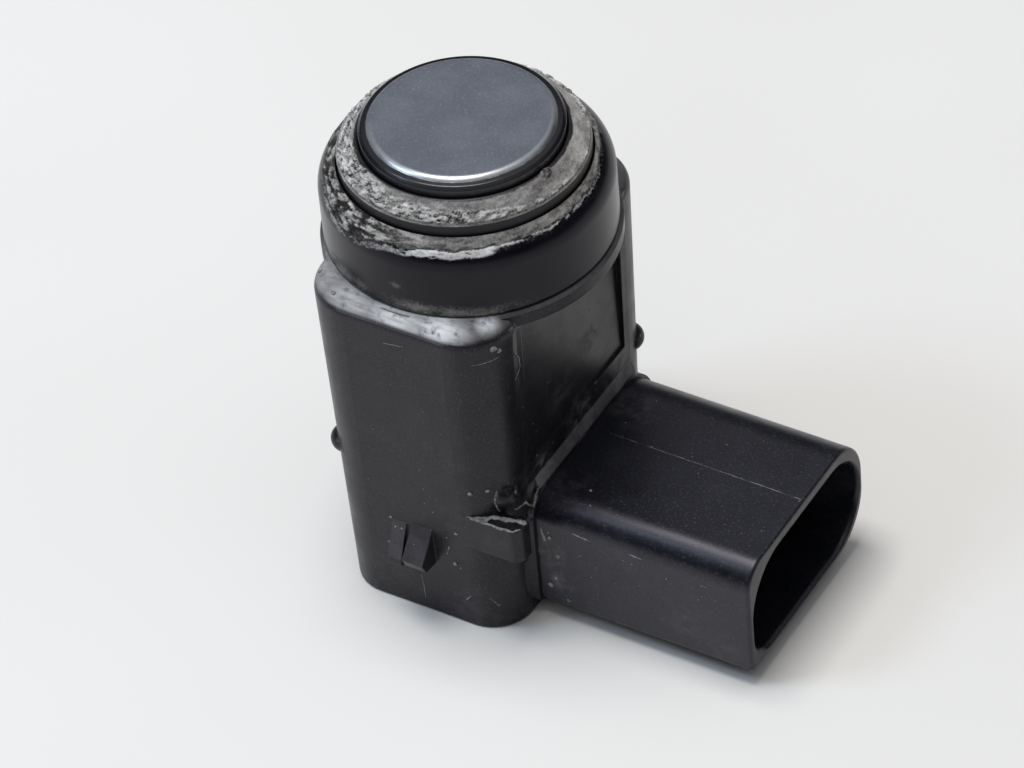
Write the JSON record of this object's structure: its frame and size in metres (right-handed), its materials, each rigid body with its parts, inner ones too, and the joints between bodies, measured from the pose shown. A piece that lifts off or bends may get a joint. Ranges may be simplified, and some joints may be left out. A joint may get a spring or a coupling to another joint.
{
  "type": "parking sensor",
  "caption": "Ultrasonic parking sensor: round membrane head in a rubber ring, flat-sided housing with latch lugs and a side plug socket with pins.",
  "frame": {"origin": "point where the head's axis meets the plane of the housing's rear edge", "axes": "+Z along the head's axis towards the membrane, +X along the socket towards its mouth"},
  "size_m": [0.0375, 0.0268, 0.04],
  "materials": {
    "housing_plastic": "fine-grained, dusty",
    "shroud_plastic": "smooth, satin",
    "collar_plastic": "satin, dusty",
    "ring_rubber": "matte, crusted with dried dirt",
    "membrane_paint": "satin",
    "piezo_ceramic": "matte",
    "damping_foam": "matte",
    "sealant": "matte",
    "signal_insulation": "satin",
    "ground_insulation": "satin",
    "board_laminate": "satin",
    "ferrite": "matte",
    "winding": "satin",
    "chip_body": "matte",
    "can_metal": "satin",
    "capacitor_body": "matte",
    "resistor_body": "matte",
    "pin_metal": "satin",
    "potting": "gloss"
  },
  "bodies": {
    "root": {"housing": "housing_plastic", "connector_shroud": "shroud_plastic", "collar": "collar_plastic", "decoupling_ring": "ring_rubber", "membrane_cup": "membrane_paint", "piezo_disc": "piezo_ceramic", "damping_foam": "damping_foam", "cup_sealant": "sealant", "signal_lead": "signal_insulation", "ground_lead": "ground_insulation", "circuit_board": "board_laminate", "transformer_core": "ferrite", "transformer_coil": "winding", "driver_chip": "chip_body", "storage_capacitor": "can_metal", "filter_capacitors": "capacitor_body", "resistors": "resistor_body", "protection_diode": "chip_body", "supply_terminal": "pin_metal", "signal_terminal": "pin_metal", "ground_terminal": "pin_metal", "rear_potting": "potting"}
  },
  "joints": []
}
